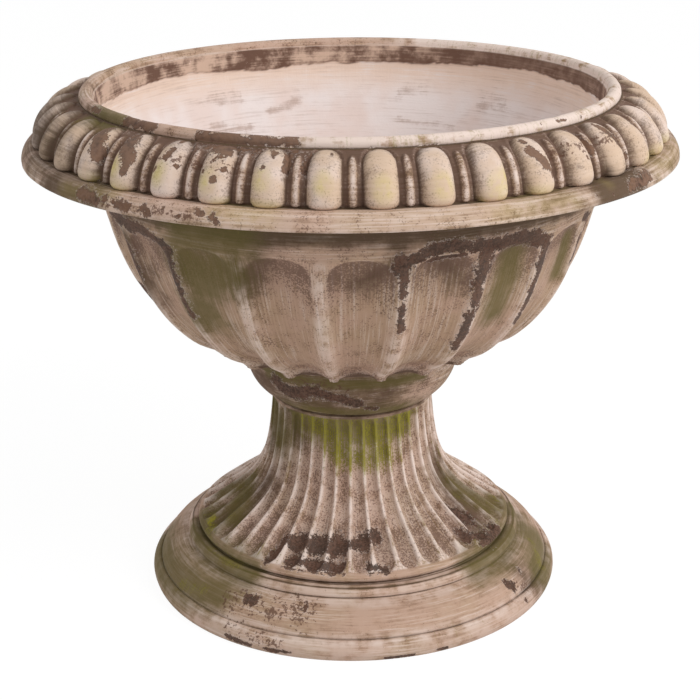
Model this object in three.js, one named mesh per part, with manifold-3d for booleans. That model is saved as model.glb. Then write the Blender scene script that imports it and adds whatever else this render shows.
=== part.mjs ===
// Pedestal urn planter in thick moulded ceramic. A fluted bowl with an egg-and-dart rim stands on a
// fluted, trumpet-shaped pedestal, and one bolt through the bowl's floor holds the two together.
// Millimetres, +Z up. The origin is the centre of the foot, on the ground. Angles start at the front, -Y.
import * as THREE from "three";
import { mergeVertices } from "three/addons/utils/BufferGeometryUtils.js";
import Module from "manifold-3d";

const wasm = await Module();
wasm.setup();

// ---- Sizes: pedestal, from the ground up ----
const PLINTH_RADIUS = 168.5; // widest point of the rounded ring at the ground
const PLINTH_HEIGHT = 14.6;
const PLINTH_NECK = 7; // how far the groove over that ring is drawn in
const SLOPE_WIDTH = 23.5; // sloping band, from groove to groove
const SLOPE_HEIGHT = 21.5;
const SLOPE_BULGE = 4;
const ROLL_WIDTH = 11.5; // small roll above the sloping band
const ROLL_HEIGHT = 6.7;
const ROLL_BULGE = 4;
const BORDER_HEIGHT = 9.2; // plain ring that the stem's flutes end on
const BORDER_BULGE = 3;
const GROOVE_DEPTH = 1.8; // of the grooves between those mouldings
const STEM_RADIUS = 65;
const PEDESTAL_HEIGHT = 156;
const STEM_FLUTES = 40;
const STEM_FLUTE_DEPTH = 4; // at the foot
const STEM_FLUTE_DEPTH_TOP = 2.5;
const STEM_FLUTE_END = 9; // length of a flute's rounded end
const STEM_PLAIN = 3; // plain ring above the flutes
const PEDESTAL_WALL = 13;
const FOOT_LAND = 20; // width of the flat ring that stands on the ground
const DECK_THICKNESS = 14; // top plate of the pedestal, which the bowl is bolted to

// ---- Sizes: bowl, from its foot up ----
const COLLAR_RADIUS = 86; // half-round collar that is the bowl's foot
const COLLAR_HEIGHT = 31;
const COLLAR_OVERHANG = 2; // of the collar's seat over the stem
const SKIRT_RADIUS = 116; // lower ends of the bowl's ridges, over the collar
const SKIRT_RISE = 15.5; // from the collar's top to those ends
const SKIRT_LIFT = 3.5; // how far each flute's end arches up between two ridges
const SKIRT_EDGE = 5; // thickness of the skirt's edge
const WALL_RISE = 152; // from the ridges' ends to the underside of the rim
const BOWL_FLUTES = 20;
const BOWL_FLUTE_DEPTH = 6.5;
const BOWL_FLUTE_END = 20; // height of a flute's arched top
const BOWL_BAND = 36; // plain band between the flutes and the rim
const BOWL_WALL = 13; // at the rim
const BOWL_WALL_LOW = 20; // over the collar
const FLOOR_THICKNESS = 17.4;
const FLOOR_RADIUS = 46; // flat middle of the bowl's floor

// ---- Sizes: rim, from the mouth outwards ----
const MOUTH_RADIUS = 194.9;
const BEAD_WIDTH = 10; // round bead at the mouth
const MOUTH_DEPTH = 22; // upright inner face under the bead
const OVOLO_WIDTH = 28; // rounded moulding that carries the eggs
const LEDGE_WIDTH = 7.5; // from the moulding to the round of the lip
const LIP_WIDTH = 9.6; // round of the lip
const LIP_HEIGHT = 12;
const RIM_HEIGHT = 50.3; // underside of the lip to the top of the bead
const RAIL_DEPTH = 7; // from the bead's top down to the rail behind the eggs
const COVE_DEPTH = 14; // hollow under the rim
const LIP_LAND = 8; // flat lower edge of the lip
const EGGS = 40;
const EGG_SHARE = 0.72; // how much of the way between two darts an egg takes up
const EGG_HEIGHT = 5.5; // of an egg over the moulding
const DART_HEIGHT = 3;

// ---- Sizes: fixing through the floor ----
const BOLT_DIAMETER = 10;
const BOLT_HEAD_ACROSS = 17; // across the flats, as the nut
const BOLT_HEAD_HEIGHT = 6.4;
const BOLT_HOLE = 12;
const BOLT_SPARE = 5; // thread past the nut
const NUT_HEIGHT = 8;
const PLATE_WASHER = { outer: 40, thickness: 2 };
const SEAL_WASHER = { outer: 44, thickness: 3 };
const SPRING_WASHER = { outer: 18, thickness: 2.2, slot: 2 };
const BEDDING_WIDTH = 12;
const BEDDING_THICKNESS = 2;
const BEDDING_INSET = 4; // from the stem's outline to the bedding ring
const DRAINS = 3;
const DRAIN_DIAMETER = 14;
const DRAIN_CIRCLE = 33; // radius of the circle that the drain holes lie on
const DRAIN_MARGIN = 4; // how much wider the holes in the pedestal are
const GAP = 0.3; // between pieces that rest on each other

// ---- Facets ----
const FLUTE_FACETS = 6; // across one flute of the bowl
const STEM_FACETS = 4; // across one flute of the stem
const RIM_SIDES = 2 * EGGS;
const INSIDE_SIDES = 40;
const COLLAR_SIDES = 40;
const FOOT_SIDES = 50;
const HOLLOW_SIDES = 28;
const HOLE_SIDES = 12;
const WASHER_SIDES = 16;
const BEDDING_SIDES = 32;

const RIDGE_TURN = THREE.MathUtils.degToRad(11.07); // where the bowl's first ridge stands
const STEM_TURN = THREE.MathUtils.degToRad(-1.57);
const DART_TURN = THREE.MathUtils.degToRad(0.3);

// ---- Geometry helpers ----
const point = (r, z) => new THREE.Vector2(r, z);

// A point r from the axis, turned by an angle from the front.
const around = (r, angle, z) => new THREE.Vector3(r * Math.sin(angle), -r * Math.cos(angle), z);

// Rings of equal sides round the axis, one for each profile point. A point on the axis is a ring of one.
function turned(profile, sides) {
  return profile.map(({ x: r, y: z }) => {
    const count = r > 0 ? sides : 1;
    return Array.from({ length: count }, (_, i) => around(r, (2 * Math.PI * i) / count, z));
  });
}

// One ring with flutes hollowed between its ridges. depth is measured along the inward normal, end goes from
// 0 along the flute to 1 at its rounded end, and lift raises the ring between two ridges.
function flutedRing({ at, inward, flutes, facets, turn, depth, end, arch = 2, lift = 0 }) {
  return Array.from({ length: flutes * facets }, (_, i) => {
    const across = Math.abs((2 * (i % facets)) / facets - 1); // 1 on a ridge, 0 in the middle of a flute
    const hollow = depth * Math.sqrt(Math.max(0, 1 - across ** arch - end ** arch));
    const angle = turn + (2 * Math.PI * i) / (flutes * facets);
    return around(at.x + inward.x * hollow, angle, at.y + inward.y * hollow + lift * (1 - across ** 2));
  });
}

// Closed skin through a list of rings, which may differ in their number of points. It starts and ends on the
// axis, and its outer side goes up. Between two points that are level with each other, the shorter diagonal
// is taken, so that a flute is the same on both sides.
function loft(rings) {
  const vertices = rings.flat();
  const index = [];
  let start = 0;
  for (let k = 0; k + 1 < rings.length; k++) {
    const lower = rings[k].length;
    const upper = rings[k + 1].length;
    const next = start + lower;
    for (let i = 0, j = 0; i < lower || j < upper; ) {
      const a = start + (i % lower);
      const b = next + (j % upper);
      const afterA = start + ((i + 1) % lower);
      const afterB = next + ((j + 1) % upper);
      const lead = i === lower ? 1 : j === upper ? -1 : (i + 1) * upper - (j + 1) * lower;
      const shorter = vertices[afterA].distanceTo(vertices[b]) <= vertices[a].distanceTo(vertices[afterB]);
      if (lead < 0 || (lead === 0 && shorter)) {
        i++;
        if (lower > 1) index.push(a, afterA, b);
      } else {
        j++;
        if (upper > 1) index.push(a, afterB, b);
      }
    }
    start = next;
  }
  return new THREE.BufferGeometry().setFromPoints(vertices).setIndex(index);
}

// The normal of a rising curve that faces the axis.
const inwardNormal = (curve, t) => {
  const tangent = curve.getTangent(t);
  return point(-tangent.y, tangent.x);
};

// Points that follow a curve on its inner side, at a distance given for the curve's start and its end.
function insetPoints(curve, [atStart, atEnd], from, to, steps) {
  return Array.from({ length: steps + 1 }, (_, i) => {
    const t = from + ((to - from) * i) / steps;
    const distance = THREE.MathUtils.lerp(atStart, atEnd, t);
    return curve.getPoint(t).addScaledVector(inwardNormal(curve, t), distance);
  });
}

// The parameter at which a rising curve reaches a height.
function parameterAtHeight(curve, z) {
  let low = 0;
  let high = 1;
  for (let step = 0; step < 40; step++) {
    const middle = (low + high) / 2;
    if (curve.getPoint(middle).y < z) low = middle;
    else high = middle;
  }
  return low;
}

// A curve from foot to top whose two handles lie at shares of the way across and up.
function sweep(foot, top, [across1, up1], [across2, up2]) {
  const handle = (across, up) =>
    point(foot.x + across * (top.x - foot.x), foot.y + up * (top.y - foot.y));
  return new THREE.CubicBezierCurve(foot, handle(across1, up1), handle(across2, up2), top);
}

// A shallow arc between two points that stands out by bulge, to the right of the way from one to the other.
function bulged(from, to, bulge, steps) {
  const side = to.clone().sub(from).normalize();
  const middle = from.clone().lerp(to, 0.5).add(point(side.y, -side.x).multiplyScalar(2 * bulge));
  return new THREE.QuadraticBezierCurve(from, middle, to).getPoints(steps);
}

function solid(geometry) {
  const bare = geometry.clone();
  bare.deleteAttribute("normal");
  bare.deleteAttribute("uv");
  const merged = mergeVertices(bare, 1e-4);
  const corners = merged.index.array;
  const kept = [];
  for (let i = 0; i < corners.length; i += 3) {
    const [a, b, c] = corners.slice(i, i + 3);
    if (a !== b && b !== c && c !== a) kept.push(a, b, c);
  }
  const vertProperties = merged.attributes.position.array;
  return new wasm.Manifold(new wasm.Mesh({ numProp: 3, vertProperties, triVerts: new Uint32Array(kept) }));
}

function geometryOf(manifold) {
  const { vertProperties, triVerts } = manifold.getMesh();
  const geometry = new THREE.BufferGeometry()
    .setAttribute("position", new THREE.BufferAttribute(vertProperties, 3))
    .setIndex(new THREE.BufferAttribute(triVerts, 1));
  geometry.computeVertexNormals();
  return geometry;
}

const cut = (body, pieces) => pieces.reduce((rest, piece) => rest.subtract(solid(piece)), body);

// An upright cylinder, or a prism with few sides, between two heights.
function upright(radius, low, high, sides) {
  return new THREE.CylinderGeometry(radius, radius, high - low, sides)
    .rotateX(Math.PI / 2)
    .translate(0, 0, (low + high) / 2);
}

// Copies of a geometry at equal angles round the axis.
const ringOf = (count, turn, make) =>
  Array.from({ length: count }, (_, i) => make().rotateZ(turn + (2 * Math.PI * i) / count));

const drainHoles = (diameter, low, high) =>
  ringOf(DRAINS, 0, () => upright(diameter / 2, low, high, HOLE_SIDES).translate(0, DRAIN_CIRCLE, 0));

// ---- Pedestal ----
function pedestalGeometry() {
  const plinthTop = point(PLINTH_RADIUS - PLINTH_NECK, PLINTH_HEIGHT);
  const slopeTop = point(plinthTop.x - SLOPE_WIDTH, plinthTop.y + SLOPE_HEIGHT);
  const rollTop = point(slopeTop.x - ROLL_WIDTH, slopeTop.y + ROLL_HEIGHT);
  const borderTop = point(rollTop.x, rollTop.y + BORDER_HEIGHT);
  const stem = sweep(borderTop, point(STEM_RADIUS, PEDESTAL_HEIGHT), [0.69, 0.32], [0.92, 0.25]);
  const hollowTop = PEDESTAL_HEIGHT - DECK_THICKNESS;

  // the inside, from the deck down to the ground
  const inside = insetPoints(stem, [PEDESTAL_WALL, PEDESTAL_WALL], parameterAtHeight(stem, hollowTop), 0, 5);
  inside[0].y = hollowTop;
  const footInner = point(PLINTH_RADIUS - PLINTH_NECK / 3 - FOOT_LAND, 0);
  const hollow = [
    point(0, hollowTop),
    ...inside,
    point(footInner.x - GROOVE_DEPTH, PLINTH_HEIGHT / 2),
    footInner,
  ];

  // the mouldings of the foot, from the ground up
  const bottom = point(PLINTH_RADIUS - PLINTH_NECK / 3, 0);
  const plinth = new THREE.CubicBezierCurve(
    bottom,
    point(PLINTH_RADIUS + PLINTH_NECK / 4, PLINTH_HEIGHT / 3),
    point(PLINTH_RADIUS, PLINTH_HEIGHT * 0.75),
    point(plinthTop.x + GROOVE_DEPTH, PLINTH_HEIGHT),
  ).getPoints(3);
  const slope = bulged(plinthTop, slopeTop, SLOPE_BULGE, 2);
  const roll = bulged(point(slopeTop.x, slopeTop.y + GROOVE_DEPTH), rollTop, ROLL_BULGE, 3);
  const border = bulged(point(rollTop.x, rollTop.y + GROOVE_DEPTH), borderTop, BORDER_BULGE, 2);
  border.pop();
  const groove = (p) => point(p.x - GROOVE_DEPTH, p.y + GROOVE_DEPTH / 2);
  const foot = [
    ...plinth,
    groove(plinthTop),
    ...slope,
    groove(slopeTop),
    ...roll,
    groove(rollTop),
    ...border,
  ];

  // the stem: its flutes end round at the foot and under the plain top ring
  const fluteTop = PEDESTAL_HEIGHT - STEM_PLAIN;
  const span = fluteTop - borderTop.y;
  const lowEnd = [0, 0.25, 1].map((share) => borderTop.y + share * STEM_FLUTE_END);
  const topEnd = [1, 0.25, 0].map((share) => fluteTop - share * STEM_FLUTE_END);
  const from = parameterAtHeight(stem, lowEnd.at(-1));
  const to = parameterAtHeight(stem, topEnd[0]);
  const between = [0.25, 0.5, 0.75].map((share) => stem.getPoint(from + share * (to - from)).y);
  const flutes = [...lowEnd, ...between, ...topEnd].map((z) => {
    const t = parameterAtHeight(stem, z);
    const fromEnd = Math.min(z - borderTop.y, fluteTop - z);
    return flutedRing({
      at: stem.getPoint(t),
      inward: inwardNormal(stem, t),
      flutes: STEM_FLUTES,
      facets: STEM_FACETS,
      turn: STEM_TURN,
      depth: THREE.MathUtils.lerp(STEM_FLUTE_DEPTH, STEM_FLUTE_DEPTH_TOP, (z - borderTop.y) / span),
      end: Math.max(0, 1 - fromEnd / STEM_FLUTE_END),
    });
  });

  const blank = loft([
    ...turned(hollow, HOLLOW_SIDES),
    ...turned(foot, FOOT_SIDES),
    ...flutes,
    ...turned([point(STEM_RADIUS, PEDESTAL_HEIGHT), point(0, PEDESTAL_HEIGHT)], COLLAR_SIDES),
  ]);
  const through = [hollowTop - 1, PEDESTAL_HEIGHT + 1];
  return geometryOf(
    cut(solid(blank), [
      upright(BOLT_HOLE / 2, ...through, HOLE_SIDES),
      ...drainHoles(DRAIN_DIAMETER + DRAIN_MARGIN, ...through),
    ]),
  );
}

// ---- Bowl, in its own frame: z is 0 under its foot ----
const skirtZ = COLLAR_HEIGHT + SKIRT_RISE;
const rimZ = skirtZ + WALL_RISE;
const beadZ = rimZ + RIM_HEIGHT - BEAD_WIDTH / 2;
const beadRadius = MOUTH_RADIUS + BEAD_WIDTH / 2;
const ovoloCentre = point(MOUTH_RADIUS + BEAD_WIDTH, rimZ + LIP_HEIGHT);
const railZ = rimZ + RIM_HEIGHT - RAIL_DEPTH;
const bowlWall = sweep(point(SKIRT_RADIUS, skirtZ), point(beadRadius, rimZ), [0.787, 0.247], [0.831, 0.652]);

function collarRings() {
  const seat = point(STEM_RADIUS + COLLAR_OVERHANG, 0);
  const collar = sweep(seat, point(COLLAR_RADIUS, COLLAR_HEIGHT), [0.37, 0.14], [0.9, 0.43]);
  return turned([point(0, 0), ...collar.getPoints(4)], COLLAR_SIDES);
}

function flutedWallRings() {
  const fluteTop = rimZ - BOWL_BAND;
  const rise = fluteTop - skirtZ;
  const heights = [0, 0.06, 0.16, 0.3, 0.5].map((share) => skirtZ + share * rise);
  heights.push(...[1.6, 1, 0.5, 0.15, 0].map((share) => fluteTop - share * BOWL_FLUTE_END));
  return heights.map((z) => {
    const t = parameterAtHeight(bowlWall, z);
    return flutedRing({
      at: bowlWall.getPoint(t),
      inward: inwardNormal(bowlWall, t),
      flutes: BOWL_FLUTES,
      facets: FLUTE_FACETS,
      turn: RIDGE_TURN,
      depth: BOWL_FLUTE_DEPTH,
      end: Math.max(0, 1 - (fluteTop - z) / BOWL_FLUTE_END),
      arch: 2.4,
      lift: SKIRT_LIFT * Math.max(0, 1 - (z - skirtZ) / BOWL_FLUTE_END),
    });
  });
}

// The underside of the skirt: a recess over the collar, then the edge that the ridges end on.
function skirtRings() {
  const recess = point(COLLAR_RADIUS + SKIRT_EDGE, skirtZ - SKIRT_EDGE);
  const inner = point(SKIRT_RADIUS - SKIRT_EDGE - BOWL_FLUTE_DEPTH, recess.y);
  const edge = flutedRing({
    at: point(SKIRT_RADIUS - 1, skirtZ - SKIRT_EDGE / 2),
    inward: point(-1, 0),
    flutes: BOWL_FLUTES,
    facets: FLUTE_FACETS,
    turn: RIDGE_TURN,
    depth: BOWL_FLUTE_DEPTH,
    end: 0,
    lift: SKIRT_LIFT,
  });
  return [...turned([recess, inner], COLLAR_SIDES), edge];
}

// The egg-and-dart moulding. Each ring has six points to an egg: its dart, its two edges and three on
// its back.
function eggRings() {
  const height = railZ - ovoloCentre.y - GROOVE_DEPTH;
  const ground = new THREE.EllipseCurve(ovoloCentre.x, ovoloCentre.y, OVOLO_WIDTH, height, 0, Math.PI / 2);
  const across = [-1, -EGG_SHARE, -0.6 * EGG_SHARE, 0, 0.6 * EGG_SHARE, EGG_SHARE];
  const stations = [
    { up: 0.03, end: 0.6, dart: 0.7 },
    { up: 0.2, end: 0, dart: 1 },
    { up: 0.5, end: 0, dart: 1 },
    { up: 0.72, end: 0.6, dart: 0.6 },
    { up: 0.85, end: 1, dart: 0 },
  ];
  return stations.map(({ up, end, dart }) => {
    const at = ground.getPoint(up);
    const inward = inwardNormal(ground, up);
    return Array.from({ length: EGGS * across.length }, (_, i) => {
      const u = across[i % across.length];
      const egg = EGG_HEIGHT * Math.sqrt(Math.max(0, 1 - (u / EGG_SHARE) ** 2 - end ** 2));
      const proud = u === -1 ? DART_HEIGHT * dart : egg;
      const angle = DART_TURN + (Math.PI / EGGS) * (2 * Math.floor(i / across.length) + 1 + u);
      return around(at.x - inward.x * proud, angle, at.y - inward.y * proud);
    });
  });
}

function rimRings() {
  const lipEdge = ovoloCentre.x + OVOLO_WIDTH + LEDGE_WIDTH + LIP_WIDTH;
  const coveRadius = (lipEdge - LIP_LAND - beadRadius) / 2;
  const cove = new THREE.EllipseCurve(
    beadRadius + coveRadius, rimZ, coveRadius, COVE_DEPTH, Math.PI, 0, true,
  ).getPoints(3);
  const lip = new THREE.EllipseCurve(
    lipEdge - LIP_WIDTH, rimZ, LIP_WIDTH, LIP_HEIGHT, 0, Math.PI / 2,
  ).getPoints(3);
  const rail = [point(ovoloCentre.x + 2, railZ), point(ovoloCentre.x - 1, railZ - 1)];
  const bead = new THREE.EllipseCurve(
    beadRadius, beadZ, BEAD_WIDTH / 2, BEAD_WIDTH / 2, 0, Math.PI,
  ).getPoints(4);
  return [
    ...turned([...cove, ...lip], RIM_SIDES),
    ...eggRings(),
    ...turned([...rail, ...bead], RIM_SIDES),
  ];
}

// The inside: an upright face under the bead, the wall's own curve, then a sweep into the flat floor.
function insideRings() {
  const mouthFoot = point(MOUTH_RADIUS - 1, rimZ + RIM_HEIGHT - MOUTH_DEPTH);
  const wall = insetPoints(bowlWall, [BOWL_WALL_LOW, BOWL_WALL], 0.97, 0.06, 4);
  const wallEnd = wall.at(-1);
  const slope = wallEnd.clone().sub(wall.at(-2));
  const meet = wallEnd.x + (slope.x * (FLOOR_THICKNESS - wallEnd.y)) / slope.y;
  const floorEdge = point(FLOOR_RADIUS, FLOOR_THICKNESS);
  const turnIn = new THREE.QuadraticBezierCurve(
    wallEnd, point(Math.max(meet, FLOOR_RADIUS + 4), FLOOR_THICKNESS), floorEdge,
  ).getPoints(3);
  return turned(
    [mouthFoot, ...wall, ...turnIn.slice(1), point(0, FLOOR_THICKNESS)],
    INSIDE_SIDES,
  );
}

function bowlGeometry() {
  const blank = loft([
    ...collarRings(),
    ...skirtRings(),
    ...flutedWallRings(),
    ...rimRings(),
    ...insideRings(),
  ]);
  return geometryOf(
    cut(solid(blank), [
      upright(BOLT_HOLE / 2, -1, FLOOR_THICKNESS + 1, HOLE_SIDES),
      ...drainHoles(DRAIN_DIAMETER, -1, FLOOR_THICKNESS + 1),
    ]),
  );
}

// ---- Fixing ----
// A flat ring, with an outer and a hole diameter, that stands on z = 0.
function washerGeometry(outer, hole, thickness, sides = WASHER_SIDES) {
  return geometryOf(
    cut(solid(upright(outer / 2, 0, thickness, sides)), [upright(hole / 2, -1, thickness + 1, sides)]),
  );
}

// A washer split by one slot, as a spring washer is.
function springWasherGeometry({ outer, thickness, slot }) {
  const slotBox = new THREE.BoxGeometry(outer, slot, 3 * thickness).translate(outer / 2, 0, 0);
  const ring = cut(solid(upright(outer / 2, 0, thickness, WASHER_SIDES)), [
    upright(BOLT_DIAMETER / 2 + GAP, -1, thickness + 1, WASHER_SIDES),
    slotBox.rotateX(0.35),
  ]);
  return geometryOf(ring);
}

const hexRadius = BOLT_HEAD_ACROSS / 2 / Math.cos(Math.PI / 6);

// The bolt hangs from z = 0, the underside of its head.
function boltGeometry(length) {
  const head = solid(upright(hexRadius, 0, BOLT_HEAD_HEIGHT, 6));
  return geometryOf(head.add(solid(upright(BOLT_DIAMETER / 2, -length, 1, HOLE_SIDES))));
}

function nutGeometry() {
  const hole = upright(BOLT_DIAMETER / 2 + GAP, -1, NUT_HEIGHT + 1, HOLE_SIDES);
  return geometryOf(cut(solid(upright(hexRadius, 0, NUT_HEIGHT, 6)), [hole]));
}

// ---- Materials ----
const agedCeramic = new THREE.MeshStandardMaterial({ color: 0xa58a74, roughness: 0.85, metalness: 0 });
const zincSteel = new THREE.MeshStandardMaterial({ color: 0x9a9c9b, roughness: 0.4, metalness: 1 });
const blackRubber = new THREE.MeshStandardMaterial({ color: 0x1d1c1b, roughness: 0.9, metalness: 0 });

// ---- Assembly ----
function piece(name, geometry, material, z = 0) {
  const mesh = new THREE.Mesh(geometry, material);
  mesh.name = name;
  mesh.position.z = z;
  return mesh;
}

const urn = new THREE.Group();
urn.add(piece("pedestal", pedestalGeometry(), agedCeramic));

const beddingOuter = 2 * (STEM_RADIUS - BEDDING_INSET);
const beddingZ = PEDESTAL_HEIGHT + GAP;
urn.add(
  piece(
    "bedding_ring",
    washerGeometry(beddingOuter, beddingOuter - 2 * BEDDING_WIDTH, BEDDING_THICKNESS, BEDDING_SIDES),
    blackRubber,
    beddingZ,
  ),
);

const bowlGroup = new THREE.Group();
bowlGroup.position.z = beddingZ + BEDDING_THICKNESS + GAP;
bowlGroup.add(piece("bowl", bowlGeometry(), agedCeramic));
urn.add(bowlGroup);

// the fixing, from the bolt's head in the bowl down to the nut under the deck
const boltHole = BOLT_DIAMETER + 2 * GAP;
const boltedWasher = ({ outer, thickness }) => washerGeometry(outer, boltHole, thickness);
const sealZ = FLOOR_THICKNESS + GAP;
const plateZ = sealZ + SEAL_WASHER.thickness + GAP;
const headZ = plateZ + PLATE_WASHER.thickness + GAP;
const lowerPlateZ = PEDESTAL_HEIGHT - DECK_THICKNESS - GAP - PLATE_WASHER.thickness;
const springZ = lowerPlateZ - GAP - SPRING_WASHER.thickness;
const nutZ = springZ - GAP - NUT_HEIGHT;
const boltLength = bowlGroup.position.z + headZ - nutZ + BOLT_SPARE;
bowlGroup.add(
  piece("seal_washer", boltedWasher(SEAL_WASHER), blackRubber, sealZ),
  piece("bowl_washer", boltedWasher(PLATE_WASHER), zincSteel, plateZ),
  piece("tie_bolt", boltGeometry(boltLength), zincSteel, headZ),
);
urn.add(
  piece("deck_washer", boltedWasher(PLATE_WASHER), zincSteel, lowerPlateZ),
  piece("spring_washer", springWasherGeometry(SPRING_WASHER), zincSteel, springZ),
  piece("tie_nut", nutGeometry(), zincSteel, nutZ),
);

export default urn;
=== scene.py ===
"""Dresses the urn planter: a fluted bowl with an egg-and-dart rim on a fluted pedestal, in aged paint."""

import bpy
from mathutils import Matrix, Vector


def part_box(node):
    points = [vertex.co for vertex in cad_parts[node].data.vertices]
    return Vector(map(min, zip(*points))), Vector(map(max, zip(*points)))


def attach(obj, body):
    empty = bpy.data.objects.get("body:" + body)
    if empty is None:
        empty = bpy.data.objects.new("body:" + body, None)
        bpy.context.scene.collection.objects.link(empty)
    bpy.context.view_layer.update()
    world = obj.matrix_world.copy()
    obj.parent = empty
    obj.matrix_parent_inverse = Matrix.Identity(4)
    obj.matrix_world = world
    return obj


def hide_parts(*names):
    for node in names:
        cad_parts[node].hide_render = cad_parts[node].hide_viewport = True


bl_info = {
    "name": "Urn Planter",
    "version": (1, 0, 0),
    "blender": (4, 5, 0),
    "location": "View3D > Sidebar > Planter",
    "description": "Builds the moulded surfaces and aged paint of a two-piece pedestal urn",
    "category": "Add Mesh",
}

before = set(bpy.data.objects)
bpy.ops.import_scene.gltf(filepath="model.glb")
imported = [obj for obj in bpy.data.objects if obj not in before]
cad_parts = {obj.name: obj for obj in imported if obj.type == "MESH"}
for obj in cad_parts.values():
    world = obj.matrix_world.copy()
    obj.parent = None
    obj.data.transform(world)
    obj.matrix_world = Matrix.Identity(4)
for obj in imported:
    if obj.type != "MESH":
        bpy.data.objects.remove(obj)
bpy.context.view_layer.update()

import collections
import itertools
import math
import types

import bpy
import numpy as np
from bpy.props import FloatProperty, FloatVectorProperty, PointerProperty
from bpy.types import Operator, Panel, PropertyGroup
from mathutils import Matrix, Vector
from mathutils.geometry import delaunay_2d_cdt

MM = 0.001

# ---- Sizes in millimetres, from the frame. Angles start at the front, -Y, and turn towards +X ----


def span(node):
    """A node's outer radius, lowest height and highest height in millimetres."""
    low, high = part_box(node)
    return -low.y / MM, low.z / MM, high.z / MM


FOOT_RADIUS, _, DECK_TOP = span("pedestal")
RIM_RADIUS, BOWL_BOTTOM, RIM_TOP = span("bowl")
WASHER_GAP = 0.3
FLOOR_TOP = span("seal_washer")[1] - WASHER_GAP
DECK_UNDERSIDE = span("deck_washer")[2] + WASHER_GAP

# bowl
COLLAR_SEAT = 67.0
COLLAR_RADIUS = 86.0
COLLAR_TOP = BOWL_BOTTOM + 31
SKIRT_RADIUS = 116.0
SKIRT_Z = BOWL_BOTTOM + 46.5
SKIRT_LIFT = 3.5
SKIRT_EDGE = 5.0
UNDERSIDE_Z = RIM_TOP - 50.3
FLUTE_TOP = UNDERSIDE_Z - 36
FLUTES = 20
FLUTE_TURN = math.radians(2.07)
FLUTE_END = 20.0
FLUTE_SIDES = 2.4
FLUTE_ARCH = 2.6
FLUTE_SOFTNESS = 0.72
RIDGE_HALF = 4.6
RIDGE_ROUND = 1.1
RIDGE_TIP = 2.4
MOUTH_RADIUS = RIM_RADIUS - 55.1
BEAD_RADIUS = 5.0
LEDGE_Z = UNDERSIDE_Z + 12
LIP_WIDTH = 9.6
LIP_LAND = 8.0
COVE_DEPTH = 14.0
OVOLO_WIDTH = 28.0
RAIL_Z = RIM_TOP - 5.6
EGGS = 40
EGG_TURN = math.radians(4.8)
EGG_SHARE = 0.635
EGG_ROUND = 2.5
DART_HALF = 3.2
DROP_RADIUS = 1.5
LAYER_Z = 387.5
LAYER_THICK = 1.1
WALL_LOW = 20.0
WALL_HIGH = 13.0
FLOOR_RADIUS = 46.0

# pedestal
PLINTH_TOP = 14.6
SLOPE_TOP = 36.1
ROLL_TOP = 42.8
BORDER_TOP = 52.0
GROOVE = 1.8
STEM_FOOT = 126.5
STEM_RADIUS = 65.0
STEM_FLUTES = 40
STEM_TURN = math.radians(2.93)
STEM_FLUTE_END = 9.0
STEM_FLUTE_TOP = DECK_TOP - 3
STEM_ROUND = 2.2
STEM_WALL = 13.0
FOOT_LAND = 20.0

# holes
BOLT_HOLE = 6.0
DRAINS = 3
DRAIN_CIRCLE = 33.0
DRAIN_RADIUS = 7.0
DECK_DRAIN_RADIUS = 9.0
HOLE_SIDES = 32

# ---- Wear: half-width in mm, then a line of places, each in degrees from the front and height ----

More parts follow.
